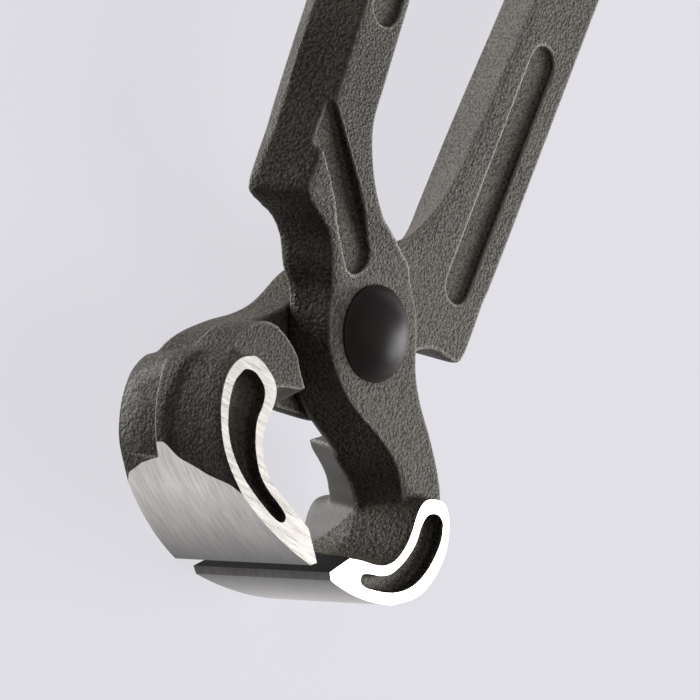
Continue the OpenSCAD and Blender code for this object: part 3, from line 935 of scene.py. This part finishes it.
class NIPPERS_OT_rivet(bpy.types.Operator):
    """Turn the rivet with its domed head and its formed tail"""

    bl_idname = "nippers.rivet"
    bl_label = "Rivet"

    def execute(self, context):
        s, forging = context.scene.nippers_rivet, context.scene.nippers_forging
        head = [(r, z + forging.cheek) for r, z in dome_profile(s.head, s.rise, s.rim)]
        tail = [(r, -z - forging.cheek - s.tail_gap) for r, z in dome_profile(s.tail, s.tail_rise, s.rim)]
        profile = list(reversed(tail)) + [(s.shank, tail[0][1]), (s.shank, head[0][1])] + head
        foot_sharp, turns = math.radians(50), 96
        mesh = bmesh.new()
        verts = [mesh.verts.new((r, 0, z)) for r, z in profile]
        edges = [mesh.edges.new(pair) for pair in zip(verts, verts[1:])]
        bmesh.ops.spin(
            mesh, geom=verts + edges, cent=(0, 0, 0), axis=(0, 0, 1),
            angle=math.tau, steps=turns, use_merge=True,
        )
        bmesh.ops.remove_doubles(mesh, verts=mesh.verts, dist=1e-6)
        bmesh.ops.recalc_face_normals(mesh, faces=mesh.faces)
        for face in mesh.faces:
            face.smooth = True
        for edge in mesh.edges:
            edge.smooth = edge.calc_face_angle(0) < foot_sharp
        bmesh.ops.translate(mesh, verts=mesh.verts, vec=pivot)
        made = as_object(mesh, "domed_rivet", [satin_rivet(context.scene.nippers_finishes)])
        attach(made, "front")
        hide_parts("rivet")
        return {"FINISHED"}


def shown(tree):
    """1 for the rays that the camera, a reflection or glass sees, else 0."""
    path = tree.nodes.new("ShaderNodeLightPath").outputs
    seen = Wire(tree, path["Is Camera Ray"])
    for kind in ("Is Glossy Ray", "Is Transmission Ray"):
        seen = seen.sum_of("MAXIMUM", seen, Wire(tree, path[kind]))
    return seen


def lay_floor(s):
    """Lays the pale floor: part of its colour glows, and the rest takes the tool's shadow."""
    half_width, drop = 6, 0.2 * MM
    mesh = bmesh.new()
    bmesh.ops.create_grid(mesh, x_segments=1, y_segments=1, size=half_width)
    floor_paint, shader, _ = coat("floor_paint", roughness=0.9, specular=0.1)
    shader.inputs["Base Color"].default_value = (*(c * (1 - s.glow) for c in s.floor), 1)
    shader.inputs["Emission Color"].default_value = (*s.floor, 1)
    tree = floor_paint.node_tree
    glow = shown(tree) * s.glow
    tree.links.new(glow.socket, shader.inputs["Emission Strength"])
    floor = as_object(mesh, "floor", [floor_paint])
    floor.location.z = -drop
    # the softbox behind shines through the floor
    floor.visible_shadow = False


def hang_sky(s):
    """Surrounds the stage with the floor's colour, which lights the tool only a little."""
    sky = bpy.data.worlds.new("sky")
    sky.use_nodes = True
    tree = sky.node_tree
    background = tree.nodes["Background"]
    background.inputs["Color"].default_value = (*s.floor, 1)
    strength = shown(tree) * (1.0 - s.sky) + s.sky
    tree.links.new(strength.socket, background.inputs["Strength"])
    bpy.context.scene.world = sky


def hang_lamp(name, direction, distance, size, watts):
    """Hangs a square softbox that faces the rivet."""
    data = bpy.data.lights.new(name, "AREA")
    data.shape, data.size, data.energy = "SQUARE", size, watts
    made = bpy.data.objects.new(name, data)
    made.location = pivot + Vector(direction) * distance
    made.rotation_euler = (pivot - made.location).to_track_quat("-Z", "Y").to_euler()
    bpy.context.scene.collection.objects.link(made)


def set_camera(lens):
    """Sets the camera at the photograph's viewing angle."""
    data = bpy.data.cameras.new("camera")
    data.lens, data.sensor_width = lens, 36
    camera = bpy.data.objects.new("camera", data)
    turn = Matrix(CAMERA_AXES).transposed().to_4x4()
    camera.matrix_world = Matrix.Translation(pivot + Vector(CAMERA_PLACE)) @ turn
    scene = bpy.context.scene
    scene.collection.objects.link(camera)
    scene.camera = camera
    scene.view_settings.view_transform = "Standard"


class NIPPERS_OT_studio(bpy.types.Operator):
    """Lay the pale floor, hang the softboxes and set the camera"""

    bl_idname = "nippers.studio"
    bl_label = "Studio"

    def execute(self, context):
        s = context.scene.nippers_studio
        lay_floor(s)
        hang_sky(s)
        for name, (direction, distance, size) in LAMPS.items():
            hang_lamp(name, direction, distance, size, getattr(s, name))
        set_camera(s.lens)
        return {"FINISHED"}


class NIPPERS_PT_panel(bpy.types.Panel):
    """Sizes, colours and steps of the nippers"""

    bl_idname = "NIPPERS_PT_panel"
    bl_label = "Nippers"
    bl_space_type = "VIEW_3D"
    bl_region_type = "UI"
    bl_category = "Nippers"

    def draw(self, context):
        parts = (("levers", "forging"), ("rivet", "rivet"), (None, "finishes"), ("studio", "studio"))
        for step, group in parts:
            box = self.layout.box()
            settings = getattr(context.scene, "nippers_" + group)
            for name in settings.bl_rna.properties.keys():
                if name not in ("rna_type", "name"):
                    box.prop(settings, name)
            if step:
                box.operator("nippers." + step)


CLASSES = (
    ForgingSizes, RivetSizes, Finishes, StudioSizes,
    NIPPERS_OT_levers, NIPPERS_OT_rivet, NIPPERS_OT_studio, NIPPERS_PT_panel,
)
GROUPS = {"forging": ForgingSizes, "rivet": RivetSizes, "finishes": Finishes, "studio": StudioSizes}


def register():
    for kind in CLASSES:
        bpy.utils.register_class(kind)
    for name, kind in GROUPS.items():
        setattr(bpy.types.Scene, "nippers_" + name, PointerProperty(type=kind))


def unregister():
    for name in GROUPS:
        delattr(bpy.types.Scene, "nippers_" + name)
    for kind in reversed(CLASSES):
        bpy.utils.unregister_class(kind)


def main():
    register()
    bpy.ops.nippers.levers()
    bpy.ops.nippers.rivet()
    bpy.ops.nippers.studio()


if __name__ == "__main__":
    main()
